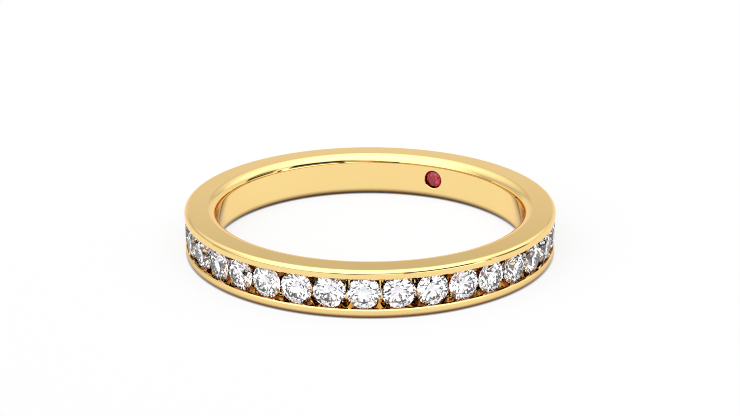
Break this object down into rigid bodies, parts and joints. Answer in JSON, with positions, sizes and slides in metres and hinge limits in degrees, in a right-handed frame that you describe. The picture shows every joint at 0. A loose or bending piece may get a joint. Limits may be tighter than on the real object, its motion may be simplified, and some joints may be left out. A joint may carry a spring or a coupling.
{
  "type": "wedding ring",
  "caption": "Polished yellow gold wedding band with round brilliant-cut stones channel-set all the way round its outside and a small red stone flush in its inner wall.",
  "frame": {"origin": "middle of the finger hole, in the plane of the band's lower side face", "axes": "+Z along the finger's axis, from the lower side face to the upper one; -Y to the front of the ring as the picture shows it; +X to the picture's right"},
  "size_m": [0.0206, 0.0206, 0.0026],
  "materials": {
    "yellow_gold": "mirror-polished 18 carat yellow gold",
    "diamond": "clear, cut and polished",
    "red_stone": "pinkish red, cut and polished"
  },
  "bodies": {
    "root": {"band": "yellow_gold", "diamond_01": "diamond", "diamond_02": "diamond", "diamond_03": "diamond", "diamond_04": "diamond", "diamond_05": "diamond", "diamond_06": "diamond", "diamond_07": "diamond", "diamond_08": "diamond", "diamond_09": "diamond", "diamond_10": "diamond", "diamond_11": "diamond", "diamond_12": "diamond", "diamond_13": "diamond", "diamond_14": "diamond", "diamond_15": "diamond", "diamond_16": "diamond", "diamond_17": "diamond", "diamond_18": "diamond", "diamond_19": "diamond", "diamond_20": "diamond", "diamond_21": "diamond", "diamond_22": "diamond", "diamond_23": "diamond", "diamond_24": "diamond", "diamond_25": "diamond", "diamond_26": "diamond", "diamond_27": "diamond", "diamond_28": "diamond", "diamond_29": "diamond", "diamond_30": "diamond", "diamond_31": "diamond", "diamond_32": "diamond", "diamond_33": "diamond", "diamond_34": "diamond", "diamond_35": "diamond", "diamond_36": "diamond", "inner_stone": "red_stone"}
  },
  "joints": []
}
